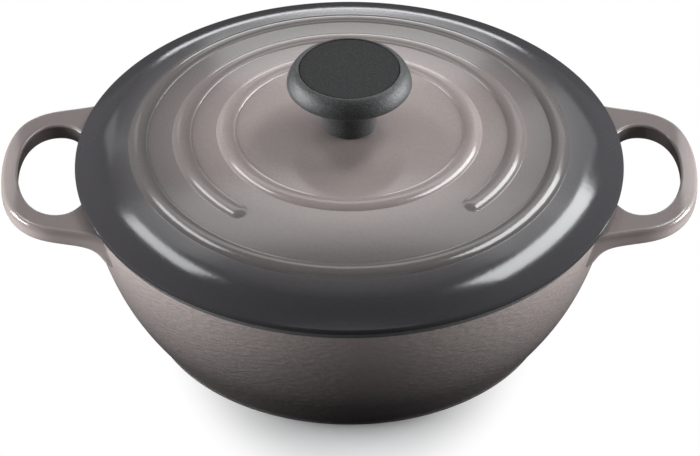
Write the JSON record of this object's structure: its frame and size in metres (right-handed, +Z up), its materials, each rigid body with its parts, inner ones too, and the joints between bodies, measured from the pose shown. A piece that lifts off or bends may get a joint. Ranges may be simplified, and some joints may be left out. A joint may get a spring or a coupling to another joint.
{
  "type": "dutch oven",
  "caption": "Round enamelled cast-iron pot with flared walls and loop handles, and a low domed lid with raised rings and a black screwed-on knob; the lid lifts off",
  "frame": {"origin": "centre of the flat foot that the pot stands on", "axes": "+Z up, +X through the middle of both loop handles, -Y the front with the broken ring's gap"},
  "size_m": [0.3328, 0.262, 0.138],
  "materials": {
    "pot_enamel": "glossy taupe enamel with a fine pebbled surface",
    "lid_enamel": "glossy taupe enamel that darkens to charcoal at the edge",
    "knob_phenolic": "near-black moulded resin with a fine grain",
    "disc_phenolic": "matte near-black",
    "insert_brass": "machined",
    "hardware_steel": "plain stainless"
  },
  "bodies": {
    "pot": {"pot": "pot_enamel"},
    "lid": {"lid": "lid_enamel", "knob": "knob_phenolic", "knob_disc": "disc_phenolic", "knob_insert": "insert_brass", "knob_screw": "hardware_steel", "flat_washer": "hardware_steel", "spring_washer": "hardware_steel"}
  },
  "joints": [
    {"name": "lid_lift", "type": "slide", "parent": "pot", "child": "lid", "axis": [0, 0, 1], "range_m": [0, 0.2]}
  ]
}
